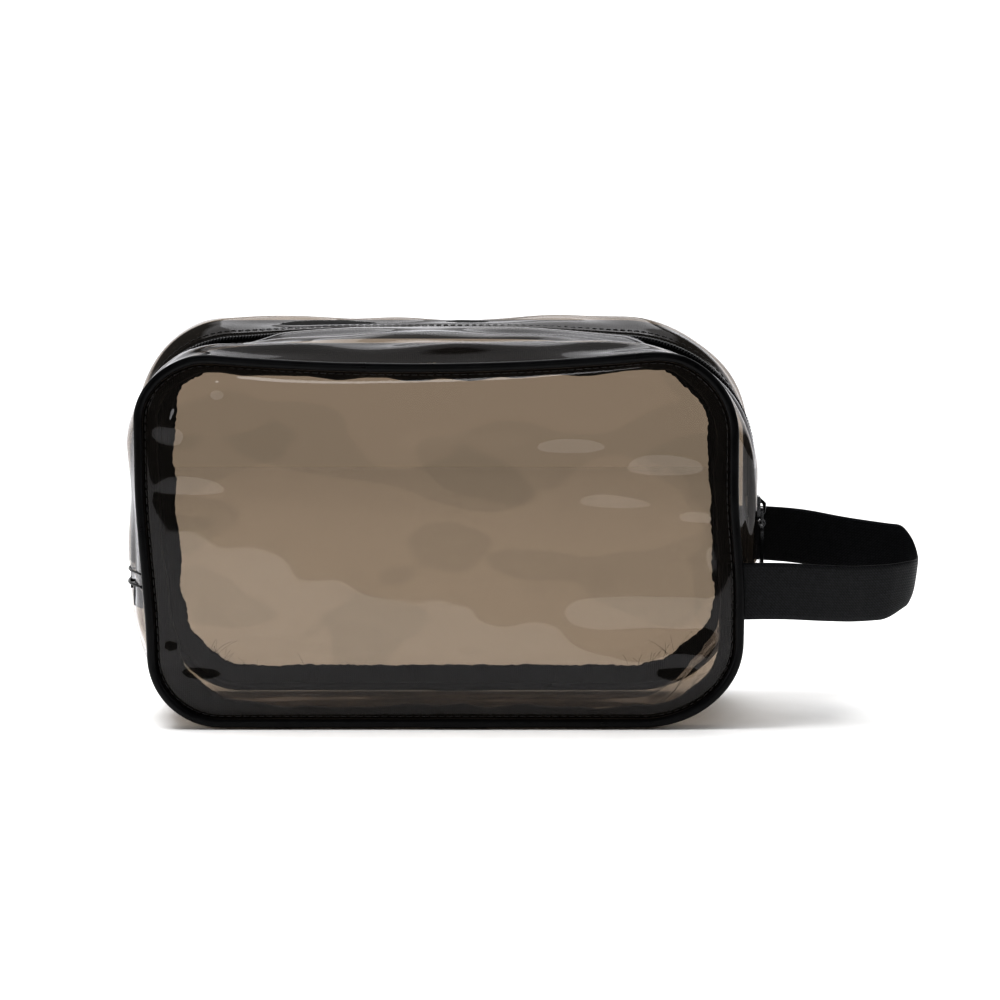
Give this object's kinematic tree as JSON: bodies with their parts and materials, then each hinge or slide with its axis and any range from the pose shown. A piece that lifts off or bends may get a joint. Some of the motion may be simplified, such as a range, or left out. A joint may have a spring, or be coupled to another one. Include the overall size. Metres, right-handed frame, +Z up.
{
  "type": "zip make-up bag",
  "caption": "See-through smoke-tinted zip bag with rounded panels, black piping, a coil zip over the top and sides, a hanging pull and a webbing wrist loop.",
  "frame": {"origin": "middle of the base gusset's flat underside", "axes": "+X towards the wrist strap, +Y from the front panel to the back panel, +Z up"},
  "size_m": [0.349, 0.0928, 0.1737],
  "materials": {
    "smoke_pvc": "clear glossy film, smoke tinted",
    "black_piping": "glossy",
    "woven_binding": "matt plain weave",
    "zip_tape": "matt herringbone weave",
    "coil_nylon": "satin",
    "black_metal": "black nickel, satin",
    "webbing": "ribbed nylon webbing"
  },
  "bodies": {
    "bag_body": {"back_panel": "smoke_pvc", "front_panel_lower": "smoke_pvc", "base_gusset": "smoke_pvc", "back_zip_strip": "smoke_pvc", "back_piping": "black_piping", "front_piping_lower": "black_piping", "front_zip_strip_right_foot": "smoke_pvc", "front_zip_strip_left_foot": "smoke_pvc", "back_binding": "woven_binding", "front_binding_lower": "woven_binding", "right_end_binding": "woven_binding", "left_end_binding": "woven_binding", "back_zip_tape": "zip_tape", "back_zip_coil": "coil_nylon"},
    "front_flap": {"front_panel_upper": "smoke_pvc", "front_piping_upper": "black_piping", "front_binding_upper": "woven_binding", "front_zip_strip": "smoke_pvc", "front_zip_tape": "zip_tape", "front_zip_coil": "coil_nylon"},
    "slider": {"slider_body": "black_metal"},
    "link": {"pull_link": "black_metal"},
    "tab": {"pull_tab": "black_metal"},
    "strap": {"wrist_strap": "webbing"}
  },
  "joints": [
    {"name": "mouth_open", "type": "hinge", "parent": "bag_body", "child": "front_flap", "pos_m": [0, -0.047, 0.078], "axis": [1, 0, 0], "range_deg": [0, 45], "deforming": ["front_zip_coil", "front_zip_tape"]},
    {"name": "slider_run", "type": "slide", "parent": "bag_body", "child": "slider", "axis": [0, 0, 1], "range_m": [-0.012, 0.018]},
    {"name": "link_swing", "type": "hinge", "parent": "slider", "child": "link", "pos_m": [0.1415, 0, 0.0898], "axis": [0, -1, 0], "range_deg": [0, 120]},
    {"name": "tab_swing", "type": "hinge", "parent": "link", "child": "tab", "pos_m": [0.1415, 0, 0.0835], "axis": [0, -1, 0], "range_deg": [0, 60]},
    {"name": "strap_bend", "type": "hinge", "parent": "bag_body", "child": "strap", "pos_m": [0.1425, 0, 0.0655], "axis": [0, -0.9895, -0.1448], "range_deg": [-25, 40], "stiffness_Nm_per_rad": 0.08, "springref_deg": 2.46}
  ]
}
